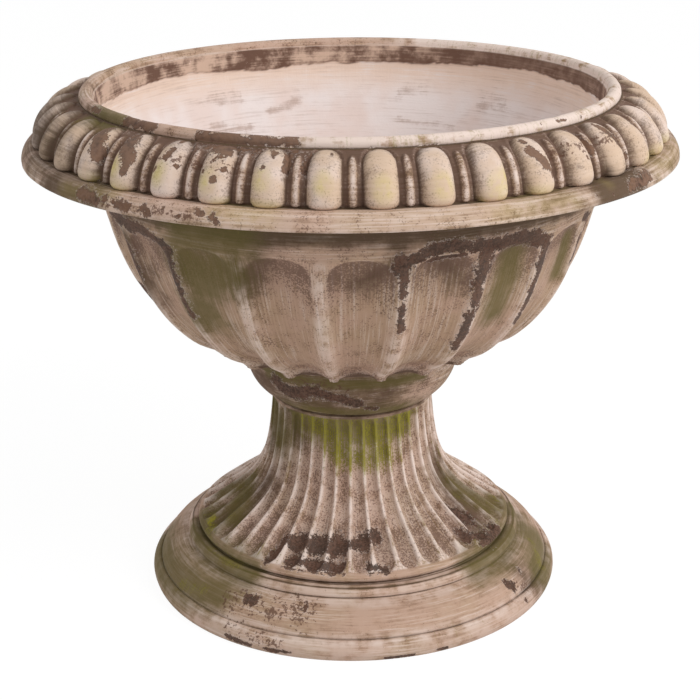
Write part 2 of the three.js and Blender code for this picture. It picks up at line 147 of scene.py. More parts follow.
FLAKES = (
    # eggs
    (6, -50, 396, -47, 386), (7, -42, 398, -39.5, 388), (4, -39, 384, -39, 380), (2.4, -31, 399),
    (3, -31, 394, -31.5, 390), (5.5, -24, 400, -21, 397), (2, -22.4, 391), (2.6, -20.5, 388),
    (3, -21.8, 382), (2, -24, 386), (3, -12.8, 396), (3.5, -10.5, 397, -10.4, 390),
    (3.4, -7, 397, -7.6, 390), (1.8, -3.1, 397), (4, 31, 392, 33, 384), (3.6, 34, 380), (3, 31, 397),
    (4, 44, 395, 45, 388), (4, 50, 396, 51.5, 386), (4, 54, 378), (3, 4, 401), (2.4, 13, 400, 16, 401),
    (2.4, -33, 384), (2, -29, 387), (2.4, -14, 390), (2, 42, 384), (2.4, 53, 392),
    # bead
    (5, -49, 405, -41, 405), (7, -29, 404, -10, 404), (1.6, -34, 405), (1.8, 39, 406),
    (3, 43.5, 406, 46, 405), (4, 51, 404), (2, 62, 405), (2.4, -64, 405, -60, 405),
    # lip
    (6, -47, 364, -43, 362), (4, -41, 365), (5, -38.5, 363, -36, 362), (4.5, -33, 364, -32, 360),
    (2.4, -29.5, 366), (3.4, -26.5, 362), (3, -23.5, 366, -22.5, 365), (4, -20.8, 364, -20, 360),
    (2.2, 41, 364), (2, 45, 362), (6, 50, 363, 56, 364), (5, 60, 394, 62, 384), (4, 70, 392),
    # bowl: the left arch and ridges
    (8, -68, 328, -59, 324, -53, 323, -47, 320, -43, 315), (7, -43.5, 310, -43.5, 290),
    (5.5, -42.9, 288, -42.9, 262), (5.5, -60.9, 305, -60.9, 280), (5, -78, 256, -78, 240),
    # bowl: the right arches and ridges
    (6.5, 9.8, 313, 11.3, 317, 13, 321, 15.5, 325, 18.7, 328, 22, 327.5, 25.6, 325, 29, 324),
    (8, 27, 326, 30, 322), (8, 29, 325, 33, 323, 36, 325, 40, 324, 44, 319, 47, 313),
    (7.5, 10.2, 320, 11.4, 315), (6, 11.1, 310, 11.1, 294), (4.6, 11.1, 284, 11.1, 264),
    (9, 29.5, 319, 29.5, 302), (7, 28.9, 298, 28.9, 272), (5.5, 28.6, 266, 28.6, 238),
    (7, 47.1, 317, 47.1, 290), (5.5, 47.1, 284, 47.1, 250), (5, 63, 322, 67, 318),
    (4.4, 65.1, 306, 65.1, 284), (4, 17, 318, 24, 319),
    # collar
    (8, -44, 185, -35.5, 178, -20, 183), (6, -20, 183, -8, 179, 3, 174), (3, 8, 168, 14, 166),
    # foot of the stem and the roll
    (6, -33, 54, -31, 64, -24, 67), (8, -24, 66, -7, 67), (6, -25, 56, -5, 55), (6, -10, 64, 11, 71),
    (4.5, 6, 55, 12, 54), (7, 55, 72, 61, 64), (7, 50, 60, 58, 51, 67, 53),
    # slope and plinth
    (4, -34, 30, -31, 31), (3.4, -14.6, 32), (5, 52, 25, 53, 22), (3, 55, 11), (3, 60, 27),
    (3.4, -36, 5, -29, 3), (3, -24, 3, -17, 4), (2, 8, 1.5, 16, 1.5), (2.2, 22, 2, 25, 2),
)
SPATTER = (
    (22, -40, 26, -28, 28, -14, 26), (14, -36, 12, -20, 9), (14, -18, 33, -12, 33), (16, 52, 24, 58, 18),
    (14, -42, 362, -24, 363), (14, -36, 390, -18, 390), (12, 34, 390, 52, 390), (18, -30, 190, -6, 186),
    (16, 56, 62, 64, 58), (20, 9, 318, 30, 322, 48, 318),
)
SCUFFS = (
    (4, -138.8, 385, -156, 390), (3, 180, 388, 176, 386), (5, 143, 357, 135, 359), (4, 166, 360, 160, 361),
    (5, -137, 365, -150, 360), (3, 116.5, 380, 118, 366), (6, -166, 356, -158, 348),
    (4, 166, 339, 150, 336), (6, -151, 337, -140, 341),
)
# Patches painted darker
DARKER_PATCHES = (
    (26, -58, 362, -44, 362), (18, 44, 364, 52, 363), (26, 60, 24, 66, 12), (30, -70, 60, -62, 90),
    (36, 62, 62, 70, 96), (26, -80, 152, -72, 118), (16, -50, 152, -40, 130), (40, -62, 312, -60, 268),
    (26, 20, 312, 24, 300), (20, 2, 300, 10, 318), (40, -90, 380, -62, 380), (30, -24, 300, -20, 314),
)
YELLOW_TINTS = (
    (8, -53.5, 383), (9, -41.5, 381), (9, -32, 382), (8, -23, 381), (8, -14, 384), (8, -4.4, 383),
    (9, 5, 380), (9, 14.3, 380), (8, 26, 382, 23, 378), (8, 44.4, 379, 45, 371), (8, 53.6, 381),
    (8, 62.6, 386), (9, 95, 380, 97, 376), (9, 140, 382), (8, 185, 380), (9, -150, 382), (8, -95, 381),
    (12, 22, 366, 36, 364), (9, -21, 366, -12, 366), (12, -52, 364, -40, 366), (12, 60, 366, 80, 366),
)
OLIVE = (
    (30, -40, 312, -36, 289, -29, 306), (26, -41, 268, -39, 262), (28, -37, 328, -24.5, 334),
    (19, 38, 307, 38, 262), (11, 60, 306, 61, 277), (24, -100, 300, -95, 260), (26, 150, 310),
    (22, -150, 280, -158, 250), (19, -79, 51, -58, 43, -38, 43), (22, -94, 14, -69, 19, -54, 23),
    (18, -54, 23, -43, 28), (18, 75, 77, 78, 62, 92, 44), (17, 74, 44, 58, 43, 44, 43),
    (24, 84, 29, 70, 17), (14, -90, 66, -81, 79, -64, 66), (14, 150, 44, 190, 43), (14, 130, 22),
    (7, -50, 192, 40, 192), (7, -30, 163, 30, 163), (26, -84, 150, -60, 128),
    (24, -40, 150, 0, 148, 36, 152), (10, -62, 404, -50, 404),
)
LIME = (
    (22, -25, 150, -10, 140, 6, 138, 26, 142, 36, 148), (18, -10, 128, 8, 122, 22, 124),
    (6, -60, 20, -50, 25), (6, 78, 30, 72, 18), (14, 150, 150, 185, 140), (4, -74, 56, -60, 46, -42, 45),
)

# ---- Curves in the plane of radius and height ----


def bezier(points, count):
    """Points along a cubic curve with four handles."""
    t = np.linspace(0, 1, count)[:, None]
    a, b, c, d = (np.array(p, float) for p in points)
    return (1 - t) ** 3 * a + 3 * (1 - t) ** 2 * t * b + 3 * (1 - t) * t**2 * c + t**3 * d


def swept(start, end, shares, count):
    """A cubic curve whose inner handles lie at shares of the way in radius and in height."""
    start, end = np.array(start, float), np.array(end, float)
    return bezier([start, *(start + (end - start) * share for share in shares), end], count)


def arc(centre, radii, start, end, count):
    """Points on an ellipse between two angles in degrees: 0 is outwards and 90 up."""
    angle = np.radians(np.linspace(start, end, count))
    return np.array(centre) + np.array(radii) * np.stack([np.cos(angle), np.sin(angle)], 1)


def bent(start, handle, end, count):
    """Points along a curve from start to end that a handle pulls aside."""
    start, handle, end = (np.array(p, float) for p in (start, handle, end))
    t = np.linspace(0, 1, count)[:, None]
    return (1 - t) ** 2 * start + 2 * (1 - t) * t * handle + t**2 * end


def bulged(start, end, bulge, count):
    """A shallow arc between two points that stands out by bulge."""
    start, end = np.array(start, float), np.array(end, float)
    side = (end - start) / np.linalg.norm(end - start)
    return bent(start, (start + end) / 2 + 2 * bulge * np.array([side[1], -side[0]]), end, count)


def chained(*stretches):
    """Stretches joined end to end, with doubled points dropped."""
    points = np.concatenate(stretches)
    keep = np.r_[True, np.hypot(*np.diff(points, axis=0).T) > 0.02]
    return points[keep]


def at_heights(curve, heights):
    """Points of a rising curve at the given heights."""
    return np.stack([np.interp(heights, curve[:, 1], curve[:, 0]), heights], 1)


def at_even_lengths(curve, low, high, count):
    """Heights between two on a rising curve that lie at equal lengths along it."""
    lengths = np.r_[0, np.cumsum(np.hypot(*np.diff(curve, axis=0).T))]
    ends = np.interp([low, high], curve[:, 1], lengths)
    return np.interp(np.linspace(*ends, count), lengths, curve[:, 1])


def tangents(curve):
    """The direction of a curve at each point."""
    tangent = np.gradient(curve, axis=0)
    return tangent / np.hypot(*tangent.T)[:, None]


def inset(curve, distance):
    """A rising curve moved towards the axis by a distance at each point."""
    side = tangents(curve)[:, ::-1] * (-1, 1)
    return curve + side * np.reshape(distance, (-1, 1))


# ---- Angles, steps, noise and marks ----


def even(count):
    """Equal angles all the way round, from the back."""
    return -np.pi + 2 * np.pi * np.arange(count) / count


def wrapped(angle):
    """The same angle between -pi and pi."""
    return np.mod(angle + np.pi, 2 * np.pi) - np.pi


def gathered(repeats, facets, turn, pull):
    """Angles for a pattern whose repeats start at turn, drawn together between two repeats."""
    x = 2 * np.arange(facets) / facets - 1
    share = x + pull * np.sin(np.pi * x) / np.pi
    angle = turn + (2 * np.arange(repeats)[:, None] + share) * np.pi / repeats
    return np.sort(wrapped(angle.ravel()))


def across(angle, repeats, turn):
    """-1 to 1 over each repeat of a pattern, with 0 in its middle."""
    turns = (angle - turn) * repeats / (2 * np.pi)
    return 2 * (turns - np.round(turns))


def step(low, high, value):
    """0 at low, 1 at high and smooth between; low may be the larger."""
    t = np.clip((value - low) / (high - low), 0, 1)
    return t * t * (3 - 2 * t)


def hump(value, middle, width):
    """1 where the value is at the middle, and near 0 beyond twice the width."""
    return np.exp(-(((value - middle) / width) ** 2))


def past(value, start, length):
    """0 up to the start, then rising by 1 over each length."""
    return np.clip(value - start, 0, None) / length


HASH_PRIMES = (374761393, 668265263, 1440662683, 1013904223)
HASH_MIX = 1274126177
HASH_BITS = 0xFFFFFFFF


def lumps(points, size, seed):
    """Smooth noise from -1 to 1, with lumps of about the given size."""
    cell = points / size
    base = np.floor(cell).astype(np.int64)
    part = step(0, 1, cell - base)
    total = np.zeros(points.shape[:-1])
    for corner in itertools.product((0, 1), repeat=3):
        keys = (*np.moveaxis(base + corner, -1, 0), seed)
        mixed = sum(key * prime for key, prime in zip(keys, HASH_PRIMES)) & HASH_BITS
        mixed = ((mixed ^ (mixed >> 13)) * HASH_MIX) & HASH_BITS
        value = ((mixed ^ (mixed >> 16)) & 0xFFFF) / 32767.5 - 1
        total += value * np.prod(np.where(corner, part, 1 - part), axis=-1)
    return total


Place = collections.namedtuple("Place", "angle radius height along")


def nearness(at, marks):
    """1 on a mark, 0 at its width and less beyond."""
    near = np.full(at.angle.shape, -1.0)
    for width, *line in marks:
        points = list(zip(line[::2], line[1::2]))
        for (a0, z0), (a1, z1) in zip(points, points[1:] or points):
            middle = math.radians((a0 + a1) / 2)
            x = wrapped(at.angle - middle) * at.radius
            x0, x1 = ((math.radians(a) - middle) * at.radius for a in (a0, a1))
            run, rise = x1 - x0, z1 - z0
            length = np.maximum(run**2 + rise**2, 1e-6)
            t = np.clip(((x - x0) * run + (at.height - z0) * rise) / length, 0, 1)
            distance = np.hypot(x - x0 - t * run, at.height - z0 - t * rise)
            near = np.maximum(near, 1 - distance / width)
    return near


def marked(at, marks, reach=0.0):
    """Nearness to marks from 0 to 1, with a reach that widens them."""
    return np.clip(nearness(at, marks) + reach, 0, 1)


LUMPS = ((60, 0.3), (9, 0.12))


def hand_made(points, seed):
    """The slight unevenness of a moulded surface, towards the axis and none near it or low down."""
    out = points * (1, 1, 0)
    radius = np.maximum(np.hypot(*out[:, :2].T), 1)[:, None]
    push = sum((lumps(points, wide, seed + k) - 1) * high for k, (wide, high) in enumerate(LUMPS))
    fade = step(0, 3, points[:, 2:]) * step(40, 70, radius)
    return points + out / radius * push[:, None] * fade


# ---- Skins: closed surfaces built from rings round the axis ----


def placed(name, data):
    """A new object in the scene."""
    thing = bpy.data.objects.new(name, data)
    bpy.context.scene.collection.objects.link(thing)
    return thing


Loop = collections.namedtuple("Loop", "ring angles radius height")


class Skin:
    """A closed surface that grows zone by zone along its profile, with the solid always on its left."""

    FIELDS = (
        "hollow", "crest_and_highlight", "stipple_and_shade", "cream", "yellow", "olive", "lime", "flake",
        "rim", "spatter", "lining", "peach", "scuff", "dark", "lengthwise", "layer",
    )
    BRUSH_RADIUS = 180.0
    UV_MARGIN = 0.005
    TUBE_STRIP = 0.02

    def __init__(self, start_radius):
        self.points = []
        self.places = []
        self.fields = {name: [] for name in self.FIELDS}
        self.faces = []
        self.tubes = []
        self.count = 0
        self.length = start_radius
        self.first = None
        self.last = None

    def zone(self, profile, angles, relief):
        """Adds the rings of one stretch of the profile and joins them to the last ring."""
        radius, height = profile.T
        if self.last:
            self.length += math.hypot(radius[0] - self.last.radius, height[0] - self.last.height)
        along = self.length + np.r_[0, np.cumsum(np.hypot(np.diff(radius), np.diff(height)))]
        shape = (len(profile), len(angles))
        columns = (values[:, None] for values in (radius, height, along))
        at = Place(*(np.broadcast_to(values, shape) for values in (angles, *columns)))
        proud, fields = relief(at)
        tangent = tangents(profile)
        r = at.radius + proud * tangent[:, 1:2]
        z = at.height - proud * tangent[:, 0:1] + fields.pop("lift", 0)
        rings = self.count + np.arange(shape[0] * shape[1]).reshape(shape)
        self._keep(r, z, at.angle, at.along, fields)
        lower = Loop(rings[0], angles, radius[0], height[0])
        if self.last:
            self._join(self.last, lower)
        after = np.roll(rings, -1, axis=1)
        quads = np.stack([rings[:-1], after[:-1], after[1:], rings[1:]], -1).reshape(-1, 4)
        self.faces.extend(quads.tolist())
        self.length = along[-1]
        self.first = self.first or lower
        self.last = Loop(rings[-1], angles, radius[-1], height[-1])

    def _keep(self, r, z, angle, along, fields):
        point = np.stack([r * np.sin(angle), -r * np.cos(angle), z], -1).reshape(-1, 3)
        self.points.append(point)
        self.places.append(np.stack([angle, along], -1).reshape(-1, 2))
        for name in self.FIELDS:
            self.fields[name].append(np.broadcast_to(fields.get(name, 0.0), angle.shape).reshape(-1))
        self.count += len(point)

    def _join(self, lower, upper):
        """Triangles between two rings that may differ in their number of points."""
        i = j = 0
        below, above = len(lower.ring), len(upper.ring)
        lower_angles = np.r_[lower.angles, lower.angles[0] + 2 * math.pi]
        upper_angles = np.r_[upper.angles, upper.angles[0] + 2 * math.pi]
        while i < below or j < above:
            a, b = int(lower.ring[i % below]), int(upper.ring[j % above])
            if j == above or (i < below and lower_angles[i + 1] <= upper_angles[j + 1]):
                i += 1
                self.faces.append([a, int(lower.ring[i % below]), b])
            else:
                j += 1
                self.faces.append([a, int(upper.ring[j % above]), b])

    def pierce(self, drain_radius, upper, lower):
        """Closes both ends with plates round the bolt hole and the drains, and lines those holes."""
        turns = [2 * math.pi * k / DRAINS for k in range(DRAINS)]
        drains = [(DRAIN_CIRCLE * math.sin(turn), DRAIN_CIRCLE * math.cos(turn)) for turn in turns]
        holes = [((0.0, 0.0), BOLT_HOLE)] + [(centre, drain_radius) for centre in drains]
        for top, bottom in zip(self._plate(holes, True, upper), self._plate(holes, False, lower)):
            walls = np.stack([top, np.roll(top, -1), np.roll(bottom, -1), bottom], 1)
            self.tubes.extend(walls.tolist())

    def _plate(self, holes, up, fields):
        """Closes the last ring with a flat plate facing up, or the first with one facing down."""
        edge = self.last if up else self.first
        loops = [self._hole_points(centre, radius) for centre, radius in holes]
        flat = [Vector(p[:2]) for p in np.concatenate(self.points)[edge.ring]]
        edges = [(k, (k + 1) % len(flat)) for k in range(len(flat))]
        for loop in loops:
            first = len(flat)
            flat += [Vector(p) for p in loop]
            edges += [(first + k, first + (k + 1) % len(loop)) for k in range(len(loop))]
        _, _, faces, origin, _, _ = delaunay_2d_cdt(flat, edges, [], 2, 1e-6)
        start = self.count
        x, y = np.concatenate(loops).T
        r = np.hypot(x, y)
        along = self.length + edge.radius - r if up else r
        self._keep(r, np.full(len(r), edge.height), np.arctan2(x, -y), along, fields)
        index = np.r_[edge.ring, np.arange(start, self.count)]
        outline = len(edge.ring)
        for face in faces:
            places = [origin[k][0] for k in face]
            if min(places) >= outline and len({(k - outline) // HOLE_SIDES for k in places}) == 1:
                continue  # all its corners are on one hole, so it would close that hole
            corners = index[places].tolist()
            self.faces.append(corners if up else corners[::-1])
        if up:
            self.length += edge.radius
        return np.arange(start, self.count).reshape(len(loops), -1)

    @staticmethod
    def _hole_points(centre, radius):
        turn = 2 * math.pi * np.arange(HOLE_SIDES) / HOLE_SIDES
        return np.array(centre) + radius * np.stack([np.sin(turn), -np.cos(turn)], 1)

    def build(self, name, material, seed):
        """The finished object, with its surface data, its UV map and its smooth shading."""
        points = hand_made(np.concatenate(self.points), seed)
        places = np.concatenate(self.places)
        mesh = bpy.data.meshes.new(name)
        mesh.from_pydata((points * MM).tolist(), [], self.faces + self.tubes)
        mesh.polygons.foreach_set("use_smooth", [True] * len(mesh.polygons))
        self._unwrap(mesh, places)
        for field, values in self.fields.items():
            values = np.concatenate(values)
            if values.any():
                layer = mesh.attributes.new(field, "FLOAT", "POINT")
                layer.data.foreach_set("value", values.astype(np.float32))
        angle, along = places.T
        brush = np.stack([np.cos(angle) * self.BRUSH_RADIUS, np.sin(angle) * self.BRUSH_RADIUS, along], 1)
        layer = mesh.attributes.new("brush", "FLOAT_VECTOR", "POINT")
        layer.data.foreach_set("vector", (brush * MM).astype(np.float32).ravel())
        mesh.materials.append(material)
        mesh.validate()
        return placed(name, mesh)

    def _unwrap(self, mesh, places):
        """u turns with the angle and v follows the profile, with the seam behind and tubes in a strip."""
        corner = np.empty(len(mesh.loops), int)
        mesh.loops.foreach_get("vertex_index", corner)
        first = np.empty(len(mesh.polygons), int)
        mesh.polygons.foreach_get("loop_start", first)
        turn, along = places[corner].T
        u = turn / (2 * np.pi) + 0.5
        spread = np.maximum.reduceat(u, first) - np.minimum.reduceat(u, first)
        straddles = np.repeat(spread > 0.5, np.diff(np.r_[first, len(corner)]))
        u = u + (straddles & (u < 0.5))
        margin = self.UV_MARGIN
        v = margin + (1 - 2 * margin - self.TUBE_STRIP) * along / along.max()
        uv = np.stack([margin + (1 - 3 * margin) * u, v], 1)
        walls = len(self.tubes)
        left = margin + (1 - 2 * margin) * np.arange(walls) / walls
        right = left + (1 - 2 * margin) / walls
        top, bottom = np.full(walls, 1 - margin), np.full(walls, 1 - self.TUBE_STRIP)
        uv[-4 * walls:] = np.stack([left, top, right, top, right, bottom, left, bottom], 1).reshape(-1, 2)
        layer = mesh.uv_layers.new(name="OFBake")
        layer.data.foreach_set("uv", uv.astype(np.float32).ravel())


# ---- Reliefs: how far a surface stands out, and the data for its paint ----


def chosen(name):
    """One of the sizes in the panel, in millimetres."""
    return getattr(bpy.context.scene.planter_sizes, name) / MM


def plain(**fields):
    """A stretch without relief whose surface data is the same all over."""
    return lambda at: (0.0, dict(fields))


def weathered(relief):
    """Adds flakes and growth to a relief, and sinks the flakes a little."""

    def worn(at):
        proud, fields = relief(at)
        flake = nearness(at, FLAKES)
        fields["flake"] = np.clip(flake + 1, 0, None)
        fields["spatter"] = marked(at, SPATTER)
        fields["olive"] = marked(at, OLIVE, 0.2)
        fields["lime"] = marked(at, LIME, 0.2)
        # Patches painted darker
        fields["dark"] = fields.get("dark", 0) + 0.75 * marked(at, DARKER_PATCHES)
        return proud - chosen("flake_depth") * step(0.1, 0.8, flake), fields

    return worn


def collar(at):
    """The collar under the skirt: painted shade, darkest in front and less on the right, where there is also
    a little painted highlight; a pale lower edge.
    """
    turn = np.degrees(at.angle)
    right = step(12, 48, turn) * step(150, 110, turn)
    pale_edge = step(BOWL_BOTTOM + 9, BOWL_BOTTOM + 3, at.height)
    return 0.0, {
        "dark": np.clip(0.7 - 0.45 * right - 0.35 * pale_edge, 0, 1),
        "crest_and_highlight": 0.15 * pale_edge + 0.1 * right,
        "stipple_and_shade": 0.25,
    }


def flute_place(at):
    """How far out in its flute a place is, from 0 to 1, how far from the ridge, and 1 on the ridge."""
    u = np.abs(across(at.angle, FLUTES, FLUTE_TURN))
    from_ridge = (1 - u) * np.pi * at.radius / FLUTES / RIDGE_HALF
    return u, from_ridge, step(2.0, 0.1, from_ridge)


def skirt_underside(at):
    """The lower ends of the flutes, turned under into scallops that shade what lies behind them, with painted
    shade on their undersides.
    """
    u, _, ridge = flute_place(at)
    share = step(COLLAR_RADIUS + SKIRT_EDGE, SKIRT_RADIUS, at.radius)
    inside = np.clip(1 - (u / 0.82) ** 2.5, 0, 1)
    edge = SKIRT_RADIUS - 1.5 - 8 * step(0.6, 1, u)
    below = step(edge, edge - 3, at.radius)
    return -(0.9 * chosen("flute_depth") * np.sqrt(inside) + RIDGE_TIP * ridge) * share, {
        "lift": SKIRT_LIFT * share * (1 - u**2),
        "dark": (1.3 - 0.6 * step(0.5, 0.9, u)) * below,
        "stipple_and_shade": 0.5 + 0.3 * below,
        "crest_and_highlight": 0.7 * step(0.82, 1, u) * share + 0.3 * (1 - below),
        "lengthwise": 1 - below,
    }


def bowl_wall(at):
    """Broad flutes with arched tops, between rounded ridges that end in the tips of the skirt."""
    u, from_ridge, ridge = flute_place(at)
    half_pitch = np.pi * at.radius / FLUTES
    below = FLUTE_TOP - at.height
    end = np.clip(1 - below / FLUTE_END, 0, None)
    side = u * half_pitch / (half_pitch - RIDGE_HALF)
    inside = np.clip(1 - side**FLUTE_SIDES - end**FLUTE_ARCH, 0, 1)
    rounding = RIDGE_ROUND * np.clip(from_ridge, 0, 1) ** 2 * step(0, 8, below + 2)
    hollow = inside**FLUTE_SOFTNESS * (chosen("flute_depth") - 1)
    depth = np.where(inside > 0, hollow + rounding, rounding * step(0, 0.35, 1 - end))
    low = 1 - step(SKIRT_Z, SKIRT_Z + FLUTE_END, at.height)
    # Painted shade under each flute's arched top and down its sides, laid on as dark stipple
    arch_shade = 0.95 * step(42, 2, below) + 0.5 * step(0.4, 0.9, u) * step(60, 15, below)
    return -depth - RIDGE_TIP * ridge * low**2, {
        "lift": SKIRT_LIFT * low * (1 - u**2),
        "hollow": inside**0.5,
        "crest_and_highlight": ridge * step(-2, 8, below) * (0.6 + 0.4 * low),
        "stipple_and_shade": (arch_shade + 0.5 * step(20, 0, at.height - SKIRT_Z)) * step(0.0, 0.2, inside),
        "lengthwise": step(-2, 6, below),
        # Painted shade on the plain band under the rim, darkest towards the lip
        "dark": 0.95 * step(FLUTE_TOP + 2, FLUTE_TOP + 17, at.height),
    }


def lip(at):
    """The rounded lip: lighter on top and along its lower edge, with a dark line under the eggs."""
    under_eggs = step(RIM_RADIUS - LIP_WIDTH - 2.5, RIM_RADIUS - LIP_WIDTH - 5, at.radius)
    return 0.0, {
        "crest_and_highlight": 0.25 * step(0.9, 0.2, under_eggs) + 0.35 * step(LEDGE_Z - 9, LEDGE_Z - 12, at.height),
        "dark": 0.9 * under_eggs + 0.12 + 0.34 * step(14, 34, np.degrees(at.angle)),
        "yellow": 0.22 * marked(at, YELLOW_TINTS),
        "rim": 1.0,
    }


def eggs(at):
    """Eggs, the thin frames round them and the darts between them, standing on the ovolo."""
    length = at.along.max() - at.along.min()
    v = (at.along - at.along.min()) / length
    u = across(at.angle, EGGS, EGG_TURN)
    half_pitch = np.pi * at.radius / EGGS
    q = sum(part**EGG_ROUND for part in (np.abs(u / EGG_SHARE), past(v, 0.48, 0.5), past(-v, -0.12, 0.18)))
    inside = np.clip(1 - q, 0, 1)
    egg = chosen("egg_height") * inside**0.6 * (1.7 - 0.8 * step(0, 0.9, v))
    outside = (q ** (1 / EGG_ROUND) - 1) * EGG_SHARE * half_pitch
    ring = hump(outside, 1.9, 0.7) * step(0.0, 0.08, v)
    groove = hump(outside, 0.4, 0.8) * (q > 1)
    x = (1 - np.abs(u)) * half_pitch
    q_dart = (x / (DART_HALF + 0.4 * (1 - v))) ** 2 + past(v, 0.5, 0.34) ** 2.4 + past(-v, -0.05, 0.07) ** 2
    dart = chosen("dart_height") * np.clip(1 - q_dart, 0, 1) ** 0.6
    from_drop = np.hypot((np.abs(u) - 0.78) * half_pitch, v * length - 1.6) / DROP_RADIUS
    drop = 1.4 * np.sqrt(np.clip(1 - from_drop**2, 0, 1))
    ground = np.maximum.reduce([0.8 * ring, dart, drop]) - 0.9 * groove
    on_egg = step(0, 0.1, inside)
    off_egg = 1 - on_egg
    on_dart = step(0, 0.8, 1 - q_dart)
    side = step(-0.2, 1.0, -u / EGG_SHARE)
    edge = step(0.75, 0.0, inside)
    # Painted shade on the eggs: towards their edges, on their left sides away from the light and on their
    # tops under the bead; the stipple on the eggs follows the same shade
    egg_shade = 0.3 * edge + 0.22 * side + 0.35 * step(0.6, 1, v)
    crest_and_highlight = 0.9 * on_dart * step(2.8, 0.4, x) + 0.5 * ring * off_egg + 0.4 * (drop > 0)
    return np.where(inside > 0, egg, ground), {
        "cream": on_egg,
        "crest_and_highlight": np.clip(crest_and_highlight, 0, 1),
        "hollow": off_egg,
        "stipple_and_shade": np.clip(off_egg * (1 - 0.8 * on_dart) + on_egg * (0.2 * side + 0.45 * edge), 0, 1),
        "yellow": marked(at, YELLOW_TINTS) * on_egg,
        "rim": 1.0,
        "dark": off_egg * (0.75 - 0.6 * on_dart - 0.35 * ring) + egg_shade * on_egg,
    }


def bead(at):
    """The bead: pinkish with painted highlight in front and on the right, where the light falls, and tan with
    a little painted shade on the left.
    """
    turn = np.degrees(at.angle)
    right = step(-30, 5, turn) * step(175, 150, turn)
    return 0.0, {"crest_and_highlight": 0.2 + 1.8 * right, "stipple_and_shade": -0.5 * right, "dark": 0.1 * (1 - right), "rim": 1.0}


def inner_band(at):
    """The thick, ragged layer inside the mouth, under the bead, with painted shade that is darkest on the
    right and a thin painted shadow along its ragged edge.
    """
    round_axis = np.stack([np.sin(at.angle), -np.cos(at.angle), np.zeros(at.angle.shape)], -1)
    ragged = ((4.5, 0.4, 31), (1.3, 0.08, 32), (0.9, 0.02, 33))
    from_edge = at.height - LAYER_Z - sum(high * lumps(round_axis, wide, seed) for high, wide, seed in ragged)
    layer = step(-0.8, 0.8, from_edge)
    turn = np.degrees(at.angle) % 360
    right = step(60, 110, turn) * step(185, 140, turn)
    return LAYER_THICK * layer, {
        "lining": 1.0,
        "layer": layer,
        "dark": layer * (0.2 + 0.75 * right) + 0.6 * hump(from_edge, 0, 0.9),
        "peach": 1.0,
        "lengthwise": 1.0,
    }


def inside_wall(at):
    """The lining below that layer: peach just under it, and scuffed in places."""
    return 0.0, {
        "lining": 1.0,
        "peach": step(RIM_TOP - 50, RIM_TOP - 30, at.height),
        "scuff": marked(at, SCUFFS, 0.3),
    }


def foot(at):
    """The foot, with painted shade in its grooves and the edges beside them pale."""
    to_groove = np.minimum.reduce(
        [np.abs(at.height - top - GROOVE / 2) for top in (PLINTH_TOP, SLOPE_TOP, ROLL_TOP)]
    )
    groove = hump(to_groove, 0, 0.5)
    edge = 0.4 * step(5, 2, to_groove) * (1 - groove)
    return 0.0, {
        "hollow": groove + 0.4,
        "dark": 0.9 * groove + 0.04,
        "crest_and_highlight": edge + 0.1 + 0.25 * step(PLINTH_TOP + 1, PLINTH_TOP - 1, at.height),
        "stipple_and_shade": -0.35,
    }


def stem(at):
    """Narrow flutes with round lower ends, shallower towards the top."""
    u = np.abs(across(at.angle, STEM_FLUTES, STEM_TURN))
    up = at.height - BORDER_TOP
    half_pitch = np.pi * at.radius / STEM_FLUTES
    side = u * half_pitch / (0.9 * half_pitch - 0.4)
    end = np.clip(1 - np.minimum(up, STEM_FLUTE_TOP - at.height) / STEM_FLUTE_END, 0, None)
    inside = np.clip(1 - side**STEM_ROUND - end**STEM_ROUND, 0, 1)
    ridge = step(0.34, 0.04, 1 - u)
    rim = step(0.2, 0, inside) * step(14, 8, up)
    low = step(34, 4, up)
    depth = 5 - 1.8 * up / (DECK_TOP - BORDER_TOP)
    return -depth * np.sqrt(inside), {
        "hollow": 0.3 * np.sqrt(inside),
        "crest_and_highlight": np.maximum(ridge, rim) * 1.1 + 0.3,
        "stipple_and_shade": (0.42 + 0.38 * low) * inside**0.5,
        "lengthwise": 1.0,
        # Darker in the lower flutes, and painted shade at the top of the stem under the bowl
        "dark": 0.25 * low * inside + 0.25 * step(DECK_TOP - 14, DECK_TOP - 2, at.height),
    }


# ---- Bowl ----

WALL_SHARES = ((0.787, 0.247), (0.831, 0.652))
WALL_CURVE = swept((SKIRT_RADIUS, SKIRT_Z), (MOUTH_RADIUS + BEAD_RADIUS, UNDERSIDE_Z), WALL_SHARES, 400)
COLLAR_SHARES = ((0.37, 0.14), (0.9, 0.43))


def build_underbody(skin):
    """The collar, the skirt over it and the fluted wall."""
    half_round = swept((COLLAR_SEAT, BOWL_BOTTOM), (COLLAR_RADIUS, COLLAR_TOP), COLLAR_SHARES, 16)
    neck_radius, neck_z = COLLAR_RADIUS + SKIRT_EDGE, SKIRT_Z - SKIRT_EDGE
    neck = np.linspace((COLLAR_RADIUS, COLLAR_TOP), (neck_radius, neck_z), 6)
    skin.zone(chained(half_round, neck), even(240), weathered(collar))

    angles = gathered(FLUTES, 24, FLUTE_TURN, 0.4)
    edge = SKIRT_RADIUS - 4
    under = np.linspace((neck_radius + 1, neck_z + 0.4), (edge, neck_z + 0.6), 6)
    tip = arc((edge, SKIRT_Z - 1.4), (4, 3), -90, 0, 5)
    skin.zone(chained(under, tip), angles, weathered(skirt_underside))
    heights = np.r_[
        np.linspace(SKIRT_Z, FLUTE_TOP - FLUTE_END, 26)[1:],
        np.linspace(FLUTE_TOP - FLUTE_END, FLUTE_TOP + 1, 20)[1:],
        np.linspace(FLUTE_TOP + 1, UNDERSIDE_Z, 8)[1:],
    ]
    skin.zone(at_heights(WALL_CURVE, heights), angles, weathered(bowl_wall))


